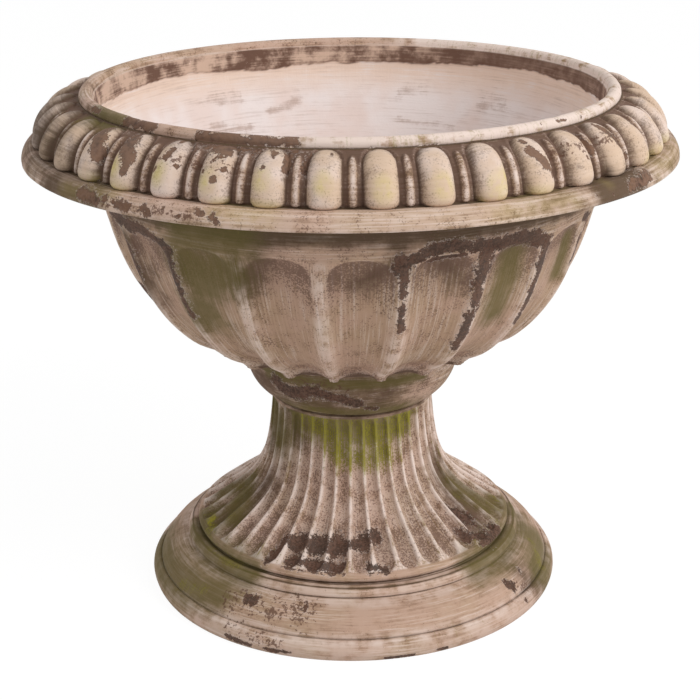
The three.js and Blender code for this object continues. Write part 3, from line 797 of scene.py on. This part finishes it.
def build_rim(skin):
    """The cove, the lip, the ovolo with its eggs, and the bead."""
    lip_inner, lip_outer = RIM_RADIUS - LIP_LAND, RIM_RADIUS - LIP_WIDTH
    wall_top = MOUTH_RADIUS + BEAD_RADIUS
    cove_half = (lip_inner - wall_top) / 2
    cove = arc(((wall_top + lip_inner) / 2, UNDERSIDE_Z), (cove_half, COVE_DEPTH), 180, 0, 13)
    land = np.linspace((lip_inner, UNDERSIDE_Z), (RIM_RADIUS - 0.4, UNDERSIDE_Z), 4)
    rounding = arc((lip_outer, UNDERSIDE_Z + 0.4), (LIP_WIDTH, LEDGE_Z - UNDERSIDE_Z - 0.4), 0, 90, 14)
    ovolo_radius = wall_top + BEAD_RADIUS
    ledge = np.linspace((lip_outer, LEDGE_Z), (ovolo_radius + OVOLO_WIDTH + 0.3, LEDGE_Z - 0.2), 6)
    # The cove under the lip gets painted shade
    skin.zone(chained(cove[1:], land[:-1]), even(400), plain(dark=1.3))
    skin.zone(chained(land[-1:], rounding, ledge), even(480), weathered(lip))

    ovolo = arc((ovolo_radius, LEDGE_Z), (OVOLO_WIDTH, RAIL_Z - LEDGE_Z - 1.8), 0.5, 86, 42)
    skin.zone(ovolo, gathered(EGGS, 28, EGG_TURN, 0.45), weathered(eggs))

    rail = np.linspace((ovolo_radius + 0.6, RAIL_Z - 1.2), (ovolo_radius - 0.6, RAIL_Z - 1.0), 3)
    # The rail under the bead gets painted shade
    skin.zone(rail, even(480), plain(dark=1.0))
    round_top = arc((wall_top, RIM_TOP - BEAD_RADIUS), (BEAD_RADIUS, BEAD_RADIUS), -20, 185, 18)
    skin.zone(round_top, even(480), weathered(bead))


def build_bowl(material):
    """The bowl, from its seat up the outside and down the inside to its floor."""
    skin = Skin(COLLAR_SEAT)
    build_underbody(skin)
    build_rim(skin)
    bead_foot = (MOUTH_RADIUS + 0.1, RIM_TOP - BEAD_RADIUS - 1.5)
    band = np.linspace(bead_foot, (MOUTH_RADIUS - 1.2, RIM_TOP - 27), 24)
    skin.zone(band, even(480), inner_band)
    inner_wall = inset(WALL_CURVE, np.linspace(WALL_LOW, WALL_HIGH, len(WALL_CURVE)))
    side = at_heights(inner_wall, at_even_lengths(inner_wall, inner_wall[20, 1], RIM_TOP - 30, 40)[::-1])
    corner = bent(side[-1], (FLOOR_RADIUS + 4, FLOOR_TOP), (FLOOR_RADIUS, FLOOR_TOP), 16)
    skin.zone(chained(side, corner), even(240), inside_wall)
    skin.pierce(DRAIN_RADIUS, {"lining": 1.0}, {"dark": 1.0})
    return skin.build("urn_bowl", material, 5)


# ---- Pedestal ----

STEM_SHARES = ((0.69, 0.32), (0.92, 0.25))
STEM_CURVE = swept((STEM_FOOT, BORDER_TOP), (STEM_RADIUS, DECK_TOP), STEM_SHARES, 400)
FOOT_EDGE = FOOT_RADIUS - 2.3


def foot_mouldings():
    """The plinth, the slope, the roll and the border, with a groove between each two."""
    handles = (FOOT_RADIUS + 1.6, PLINTH_TOP * 0.33), (FOOT_RADIUS, PLINTH_TOP * 0.75)
    plinth = bezier([(FOOT_EDGE, 0), *handles, (FOOT_RADIUS - 5.2, PLINTH_TOP)], 14)
    slope_end, roll_end = FOOT_RADIUS - 30.5, FOOT_RADIUS - 42
    slope = bulged((FOOT_RADIUS - 7, PLINTH_TOP), (slope_end, SLOPE_TOP), 4, 16)
    roll = bulged((slope_end, SLOPE_TOP + GROOVE), (roll_end, ROLL_TOP), 4, 10)
    border = bulged((roll_end, ROLL_TOP + GROOVE), (roll_end, BORDER_TOP), 3, 8)
    tops = ((FOOT_RADIUS - 7, PLINTH_TOP), (slope_end, SLOPE_TOP), (roll_end, ROLL_TOP))
    grooves = [[(radius - GROOVE, top + GROOVE / 2)] for radius, top in tops]
    return chained(plinth, grooves[0], slope, grooves[1], roll, grooves[2], border)


def build_pedestal(material):
    """The pedestal, from its deck down the hollow, over the foot and up the stem."""
    inner = inset(STEM_CURVE, STEM_WALL)
    land_edge = FOOT_EDGE - FOOT_LAND
    chamfer = (land_edge - 1.8, PLINTH_TOP / 2)
    hollow = chained(
        at_heights(inner, at_even_lengths(inner, DECK_UNDERSIDE, inner[0, 1], 24)),
        np.linspace(inner[0], chamfer, 8),
        np.linspace(chamfer, (land_edge, 0), 3),
        np.linspace((land_edge, 0), (FOOT_EDGE, 0), 5)[:-1],
    )
    skin = Skin(hollow[0, 0])
    skin.zone(hollow, even(160), plain(dark=1.0))
    skin.zone(foot_mouldings(), even(320), weathered(foot))
    low, high = BORDER_TOP + STEM_FLUTE_END, STEM_FLUTE_TOP - STEM_FLUTE_END
    heights = np.r_[
        np.linspace(BORDER_TOP, low, 10)[1:],
        at_even_lengths(STEM_CURVE, low, high, 30)[1:],
        np.linspace(high, STEM_FLUTE_TOP + 0.6, 10)[1:],
    ]
    skin.zone(at_heights(STEM_CURVE, heights), gathered(STEM_FLUTES, 16, STEM_TURN, 0.35), weathered(stem))
    # The deck's edge and top lie under the bowl and get painted shade
    edge = np.linspace((STEM_RADIUS, DECK_TOP - 1.6), (STEM_RADIUS, DECK_TOP), 3)
    skin.zone(edge, even(200), plain(dark=0.6))
    skin.pierce(DECK_DRAIN_RADIUS, {"dark": 0.6}, {"dark": 1.0})
    return skin.build("urn_pedestal", material, 9)


# ---- Shaders ----


def tone(code):
    """A scene-linear colour from the six hexadecimal digits of a screen colour."""
    parts = [(code >> shift & 255) / 255 for shift in (16, 8, 0)]
    return tuple(p / 12.92 if p <= 0.04045 else ((p + 0.055) / 1.055) ** 2.4 for p in parts)


def math_method(operation, swapped=False):
    """A method for one of Python's operators, which adds a Math node."""
    return lambda self, other: self.maths(operation, *((other, self) if swapped else (self, other)))


class Wire:
    """A shader socket that takes Python's operators."""

    def __init__(self, shader, socket):
        self.shader = shader
        self.socket = socket

    def maths(self, operation, *values):
        return self.shader.node("Math", dict(enumerate(values)), operation=operation)

    __add__ = __radd__ = math_method("ADD")
    __mul__ = __rmul__ = math_method("MULTIPLY")
    __sub__ = math_method("SUBTRACT")
    __rsub__ = math_method("SUBTRACT", swapped=True)

    def stray(self, amount):
        """How far a noise is from its middle, times an amount."""
        return (self - 0.5) * amount

    def within(self, low, high):
        """0 at low, 1 at high and smooth between; low may be the larger."""
        return self.shader.node("MapRange", {0: self, 1: low, 2: high}, interpolation_type="SMOOTHSTEP")


class Shader:
    """The nodes of one material or world."""

    def __init__(self, owner):
        self.owner = owner
        owner.use_nodes = True
        self.tree = owner.node_tree
        self.tree.nodes.clear()

    def node(self, kind, values=None, out=0, **settings):
        """Adds a node with its settings, and then the values or links of its sockets."""
        node = self.tree.nodes.new("ShaderNode" + kind)
        for name, value in settings.items():
            setattr(node, name, value)
        for key, value in (values or {}).items():
            if isinstance(value, Wire):
                self.tree.links.new(value.socket, node.inputs[key])
            elif isinstance(value, tuple) and node.inputs[key].type == "RGBA":
                node.inputs[key].default_value = (*value, 1.0)
            else:
                node.inputs[key].default_value = value
        return Wire(self, node.outputs[out]) if len(node.outputs) else None

    def field(self, name):
        return self.node("Attribute", attribute_name=name, out=2)

    def over(self, amount, under, top):
        return self.node("Mix", {0: amount, 6: under, 7: top}, data_type="RGBA", out=2)

    def coats(self, paint, *coats):
        """A paint with coats over it in turn, each given as its amount and its colour."""
        for amount, colour in coats:
            paint = self.over(amount, paint, colour)
        return paint

    def grain(self, size, detail=3.0, rough=0.6, stretch=None, where=None, twist=0.0):
        """Noise with features of about the given size in metres, drawn out by stretch."""
        place = where or self.node("TexCoord", out=3)
        if stretch:
            place = self.node("VectorMath", {0: place, 1: stretch}, operation="MULTIPLY")
        values = {"Vector": place, "Scale": 1 / size, "Detail": detail, "Roughness": rough}
        return self.node("TexNoise", {**values, "Distortion": twist})

    def finish(self, colour, roughness, height, depth, **constants):
        """Ends the material with its one surface, and a bump of the given depth in metres."""
        bump = self.node("Bump", {"Strength": 1.0, "Distance": depth, "Height": height})
        values = {"Base Color": colour, "Roughness": roughness, "Normal": bump, **constants}
        self.node("OutputMaterial", {"Surface": self.node("BsdfPrincipled", values)})
        return self.owner


STREAK = 0.0016
STREAK_PULL = 0.035


def aged_paint(s, c):
    """Tan and pink paint dry-brushed over dark brown, with painted shade and highlight, flakes, growth and a
    pale lining.
    """
    brush = s.node("Attribute", attribute_name="brush", out=1)
    rings = s.grain(STREAK, 5, 0.65, (STREAK_PULL, STREAK_PULL, 1.0), brush)
    stripes = s.grain(STREAK, 5, 0.65, (1.0, 1.0, STREAK_PULL), brush)
    lengthwise = s.field("lengthwise")
    streaks = rings * (1 - lengthwise) + stripes * lengthwise
    coarse = s.grain(0.05, 3, 0.55)
    mottle = s.grain(0.014, 5, 0.62)
    fine = s.grain(0.0022)
    pepper = s.grain(0.0013, 2, 0.7)
    ragged = s.grain(0.008, 6, 0.74)
    crackle = (s.grain(0.007, twist=1.2) - 0.5).maths("ABSOLUTE").within(0.022, 0.006)
    dark, crest_and_highlight, stipple_and_shade, cream = (s.field(name) for name in ("dark", "crest_and_highlight", "stipple_and_shade", "cream"))

    # paint
    egg = s.over((coarse + mottle.stray(0.4)).within(0.38, 0.66), c.cream, c.bright)
    speck = (pepper + mottle.stray(0.5) + stipple_and_shade * 0.22).within(0.58, 0.67)
    paint = s.coats(
        s.over(coarse.within(0.38, 0.62), c.tan, c.pink),
        ((streaks + mottle.stray(0.45)).within(0.5, 0.66) * 0.42, c.worn),
        ((streaks + coarse.stray(0.4)).within(0.49, 0.36) * 0.45, c.bright),
        (s.field("hollow") * 0.3, c.worn),
        (cream * 0.85, egg),
        # Dry-brushed crests, and painted highlight on the lit right side of the bead and the collar
        (crest_and_highlight * (mottle + streaks * 0.3).within(0.85, 0.5), c.bright),
        # Dark stipple, partly painted shade: under the flutes' arched tops, on the eggs' left sides and
        # edges, and under the skirt
        (stipple_and_shade * 0.3, c.stipple_and_shade),
        # Painted shade from the dark field: under the rim and the lip, over the collar, under the skirt and
        # in grooves; also the darker patches
        ((dark + streaks.stray(0.65) + mottle.stray(0.9)).within(0.1, 0.95) * 0.92, c.shade),
        (speck * (0.72 - 0.3 * cream), c.stipple_and_shade),
    )

    # growth
    green = (coarse + streaks.stray(1.1) + fine.stray(0.5)).within(0.35, 0.7) * 0.75
    olive = (s.field("olive") + mottle.stray(0.8) + streaks.stray(0.5)).within(0.0, 1.0)
    lime = s.field("lime") + stripes.stray(2.6) + mottle.stray(1.2) + pepper.stray(1.4) + crest_and_highlight * 0.25
    growth = (pepper + crest_and_highlight * 0.2 + stripes.stray(1.2)).within(0.36, 0.78)
    paint = s.coats(
        paint,
        (s.field("yellow") * 0.75 * mottle.within(0.3, 0.55), c.yellow),
        (olive * 0.85, s.over(green, c.olive, c.moss)),
        (lime.within(0.45, 1.3) * (0.5 + 0.42 * lengthwise), s.over(growth, c.moss, c.lime)),
    )

    # lining
    smear = s.field("scuff") + mottle.stray(2.0) + rings.stray(2.2) + pepper.stray(0.5)
    drips = (mottle + coarse.stray(0.7) + rings.stray(0.5)).within(0.34, 0.66)
    # Painted shade in the band, darkest on the right, with a thin painted shadow along its edge
    band_shade = (dark + rings.stray(0.6) + mottle.stray(0.9)).within(0.1, 1.1) * 0.9
    layer = s.coats(c.band_pale, (drips, c.band), (band_shade, c.band))
    inside = s.coats(
        s.over(coarse.within(0.4, 0.65), c.lining, c.lining_pink),
        (s.field("peach") * (mottle * 0.3 + rings * 0.7).within(0.3, 0.52), c.peach),
        (smear.within(0.45, 1.3) * 0.6, c.scuff),
        (crackle * coarse.within(0.44, 0.58) * 0.45, c.scuff),
        ((rings + mottle.stray(0.3)).within(0.52, 0.68) * 0.26, c.scuff),
        (s.field("layer") * (1 - ragged.within(0.68, 0.71)), layer),
    )

    # flakes
    torn = s.field("flake") - 1 + ragged.stray(2.3) + pepper.stray(0.9) + fine.stray(0.9) - crest_and_highlight * 0.25
    flake = torn.within(0.22, 0.36)
    spots = (s.field("spatter") * 0.42 + fine.stray(0.9) + ragged).within(0.9, 0.96)
    body = (mottle + crackle * 0.15 + fine.stray(0.9) + pepper.stray(0.9)).within(0.34, 0.66)
    bare = s.over(s.field("rim") * ragged.within(0.35, 0.6), s.over(body, c.bare_dark, c.bare), c.bare_pale)
    paint = s.coats(
        paint,
        (s.field("lining"), inside),
        (torn.within(0.0, 0.24) * fine.within(0.42, 0.6) * 0.5, c.bright),
        (spots * 0.8, c.bare),
        (flake * 0.92, bare),
    )

    height = streaks * 0.3 + fine * 0.25 + (1 - flake) * 0.9 + mottle * 0.3 - crackle * 0.12
    return s.finish(paint, 0.76 + 0.16 * fine, height, 0.0006, **{"Specular IOR Level": 0.35})


def zinc_plate(s, c):
    """Dull zinc with a brushed grain and a faint rust bloom."""
    brushed = s.grain(0.0008, stretch=(1.0, 1.0, 0.08))
    bloom = s.grain(0.006, 4)
    metal = s.coats(c.zinc, (brushed, c.zinc_pale), (bloom.within(0.58, 0.75) * 0.7, c.rust))
    return s.finish(metal, 0.35 + bloom * 0.3, brushed * 0.5, 0.0001, Metallic=1.0)


def black_rubber(s, c):
    """Black rubber with a little dust."""
    grain = s.grain(0.0012)
    rubber = s.over(s.grain(0.008).within(0.5, 0.8) * 0.35, c.rubber, c.dust)
    return s.finish(rubber, 0.8 + 0.15 * grain, grain, 0.0001)


def finish_of(make):
    """The material that a function makes, made once and named after it."""
    colours = bpy.context.scene.planter_colours
    palette = {name: tuple(getattr(colours, name)) for name in PlanterColours.__annotations__}
    name = make.__name__
    made = bpy.data.materials.get(name)
    return made or make(Shader(bpy.data.materials.new(name)), types.SimpleNamespace(**palette))


# ---- Panel values ----


def colour(name, code, description):
    limits = {"subtype": "COLOR", "min": 0, "max": 1}
    return FloatVectorProperty(name=name, description=description, default=tone(code), **limits)


def value(name, default, description, unit="LENGTH"):
    return FloatProperty(name=name, description=description, default=default, unit=unit)


class PlanterSizes(PropertyGroup):
    """Depths of the mouldings and of the wear."""

    flute_depth: value("Flute depth", 6.5 * MM, "Depth of the bowl's flutes")
    egg_height: value("Egg height", 5.3 * MM, "How far the eggs stand out of their moulding")
    dart_height: value("Dart height", 3.2 * MM, "How far the darts stand out between the eggs")
    flake_depth: value("Flake depth", 0.5 * MM, "Depth of the places where paint has come off")


class PlanterColours(PropertyGroup):
    """Colours of the paint, of what grows on it and of the fixing."""

    tan: colour("Tan", 0xB39579, "Paint of the plain surfaces")
    pink: colour("Pink", 0xBE9D88, "Pinkish paint that is brushed through the tan")
    # Bright: dry-brushed paint on ridges and edges, and painted highlight on the right side of the bead and
    # the collar
    bright: colour("Bright", 0xE2CFC4, "Dry-brushed highlights on ridges and edges")
    worn: colour("Worn", 0x8A6C56, "Undercoat that shows between the brush lines")
    # Shade: painted shade under the rim, over the collar and under the skirt, and the colour of the darker
    # patches
    shade: colour("Shade", 0x4B3823, "Dark wash under the rim and over the collar")
    # Stipple: dark spatter, and painted shade under the arched tops, on the eggs' shaded sides and under the
    # skirt
    stipple_and_shade: colour("Stipple", 0x674C40, "Fine dark spatter in the hollows")
    cream: colour("Cream", 0xD0B69E, "Paint of the eggs")
    yellow: colour("Yellow", 0xCDBB6C, "Yellow tint low on the eggs")
    olive: colour("Olive", 0x64562C, "Olive growth in damp places")
    lime: colour("Lime", 0x8C8328, "Yellow-green growth under the bowl")
    moss: colour("Moss", 0x5A5226, "Darker parts of that growth")
    bare_pale: colour("Bare, pale", 0x735440, "Body where the rim has flaked")
    bare: colour("Bare", 0x5E4031, "Brown body where the paint has flaked")
    bare_dark: colour("Bare, dark", 0x3A261B, "Darker part of the flaked places")
    lining: colour("Lining", 0xEBE1DE, "Whitish inside of the bowl")
    lining_pink: colour("Lining, pink", 0xE6D5CE, "Pinkish clouds on the inside")
    peach: colour("Peach", 0xE7CFBE, "Tan tint of the lining just under the rim")
    scuff: colour("Scuff", 0xA98E80, "Scuffs on the inside")
    band: colour("Band", 0x6A4E40, "Thick brown layer inside the mouth")
    band_pale: colour("Band, pale", 0xCDB09C, "Where the bead's paint has run over that layer")
    zinc: colour("Zinc", 0x8E9194, "Bolt, nut and washers")
    zinc_pale: colour("Zinc, pale", 0xB4B6B8, "Lighter grain of the zinc")
    rust: colour("Rust", 0x7A4B30, "Rust on the fixing")
    rubber: colour("Rubber", 0x1F1E1D, "Seal and bedding ring")
    dust: colour("Dust", 0x6C655E, "Dust on the rubber")


class PlanterStage(PropertyGroup):
    """The light round the planter and the place it is seen from."""

    key: value("Key light", 40.0, "Power of the large lamp", "POWER")
    fill: value("Fill light", 4.5, "Power of the lamp on the left", "POWER")
    sky: value("Sky", 0.57, "Strength of the plain light from all round", "NONE")
    lens: value("Lens", 82.17 * MM, "Focal length on a 36 mm sensor")
    distance: value("Distance", 1.213, "From the camera to the planter's axis, level")
    side: value("Side", -0.0015, "Camera to the right of the planter's axis")
    height: value("Height", 0.633, "Camera above the floor")
    pitch: value("Pitch", 0.3516, "How far the camera looks down", "ROTATION")
    roll: value("Roll", -0.0086, "Lean of the camera", "ROTATION")


# ---- Operators ----

SENSOR = 36.0
FLOOR_HALF = 14.0
FLOOR_GREY = (0.86, 0.86, 0.86)
WHITE = (1.0, 1.0, 1.0)
LAMP_TARGET = Vector((0, 0, 0.2))
KEY_PLACE, KEY_SIZE = Vector((1.75, -1.15, 1.75)), 1.2
FILL_PLACE, FILL_SIZE = Vector((-1.9, -0.9, 1.0)), 1.6


def dress(piece, node):
    """Puts a finished piece in the place of its node in the frame."""
    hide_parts(node)
    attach(piece, "root")


class BuildBowl(Operator):
    """Builds the bowl with its flutes, its egg-and-dart rim and its lining"""

    bl_idname = "planter.build_bowl"
    bl_label = "Build bowl"

    def execute(self, context):
        dress(build_bowl(finish_of(aged_paint)), "bowl")
        return {"FINISHED"}


class BuildPedestal(Operator):
    """Builds the pedestal with its fluted stem and the mouldings of its foot"""

    bl_idname = "planter.build_pedestal"
    bl_label = "Build pedestal"

    def execute(self, context):
        dress(build_pedestal(finish_of(aged_paint)), "pedestal")
        return {"FINISHED"}


class FinishFixing(Operator):
    """Gives the bolt, its nut and its washers dull zinc, and the seals black rubber"""

    bl_idname = "planter.finish_fixing"
    bl_label = "Finish fixing"

    def execute(self, context):
        finishes = {
            zinc_plate: ("bowl_washer", "tie_bolt", "deck_washer", "spring_washer", "tie_nut"),
            black_rubber: ("seal_washer", "bedding_ring"),
        }
        for make, names in finishes.items():
            for name in names:
                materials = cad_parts[name].data.materials
                materials.clear()
                materials.append(finish_of(make))
        return {"FINISHED"}


class SetStage(Operator):
    """Sets a plain pale floor, soft light and the camera"""

    bl_idname = "planter.set_stage"
    bl_label = "Set stage"

    def execute(self, context):
        stage = context.scene.planter_stage
        self.floor()
        self.sky(stage.sky)
        self.lamp("key_light", stage.key, KEY_SIZE, KEY_PLACE)
        self.lamp("fill_light", stage.fill, FILL_SIZE, FILL_PLACE)
        self.camera(stage)
        context.scene.view_settings.view_transform = "Standard"
        return {"FINISHED"}

    def seen(self, s):
        """1 for the camera's own rays, mirrored rays and rays through glass, and 0 for light on things."""
        rays = ("Camera", "Glossy", "Transmission")
        camera, glossy, through = (s.node("LightPath", out=f"Is {ray} Ray") for ray in rays)
        return (camera + glossy + through).within(0, 1)

    def floor(self):
        mesh = bpy.data.meshes.new("floor")
        corners = [(x * FLOOR_HALF, y * FLOOR_HALF, 0) for x, y in ((-1, -1), (1, -1), (1, 1), (-1, 1))]
        mesh.from_pydata(corners, [], [(0, 1, 2, 3)])
        s = Shader(bpy.data.materials.new("pale_floor"))
        lit = s.node("BsdfDiffuse", {"Color": FLOOR_GREY})
        white = s.node("Emission", {"Color": WHITE, "Strength": 1.06})
        both = s.node("MixShader", {0: self.seen(s) * 0.88, 1: lit, 2: white})
        s.node("OutputMaterial", {"Surface": both})
        mesh.materials.append(s.owner)
        floor = placed("floor", mesh)

    def sky(self, strength):
        world = bpy.data.worlds.new("pale_sky")
        s = Shader(world)
        seen = self.seen(s)
        light = s.node("Background", {"Color": WHITE, "Strength": strength})
        white = s.node("Background", {"Color": WHITE, "Strength": 1.0})
        both = s.node("MixShader", {0: seen, 1: light, 2: white})
        s.node("OutputWorld", {"Surface": both})
        bpy.context.scene.world = world

    def lamp(self, name, power, size, place):
        data = bpy.data.lights.new(name, "AREA")
        data.energy = power
        data.size = size
        lamp = placed(name, data)
        lamp.location = place
        lamp.rotation_euler = (LAMP_TARGET - place).to_track_quat("-Z", "Y").to_euler()

    def camera(self, stage):
        data = bpy.data.cameras.new("camera")
        data.sensor_width = SENSOR
        data.lens = stage.lens / MM
        camera = placed("camera", data)
        camera.location = (stage.side, -stage.distance, stage.height)
        turn = Matrix.Rotation(math.pi / 2 - stage.pitch, 3, "X") @ Matrix.Rotation(stage.roll, 3, "Z")
        camera.rotation_euler = turn.to_euler()
        bpy.context.scene.camera = camera


class PlanterPanel(Panel):
    """Lists the planter's sizes, colours and pieces in the sidebar"""

    bl_idname = "VIEW3D_PT_planter"
    bl_label = "Urn Planter"
    bl_space_type = "VIEW_3D"
    bl_region_type = "UI"
    bl_category = "Planter"

    def draw(self, context):
        for name in GROUPS:
            group = getattr(context.scene, name)
            box = self.layout.box()
            for value_name in type(group).__annotations__:
                box.prop(group, value_name)
        for operator in OPERATORS:
            self.layout.operator(operator.bl_idname)


GROUPS = {"planter_sizes": PlanterSizes, "planter_colours": PlanterColours, "planter_stage": PlanterStage}
OPERATORS = (SetStage, BuildBowl, BuildPedestal, FinishFixing)
CLASSES = (*GROUPS.values(), *OPERATORS, PlanterPanel)


def register():
    for each in CLASSES:
        bpy.utils.register_class(each)
    for name, group in GROUPS.items():
        setattr(bpy.types.Scene, name, PointerProperty(type=group))


def unregister():
    for name in GROUPS:
        delattr(bpy.types.Scene, name)
    for each in reversed(CLASSES):
        bpy.utils.unregister_class(each)


def main():
    register()
    bpy.ops.planter.set_stage()
    bpy.ops.planter.build_bowl()
    bpy.ops.planter.build_pedestal()
    bpy.ops.planter.finish_fixing()


if __name__ == "__main__":
    main()
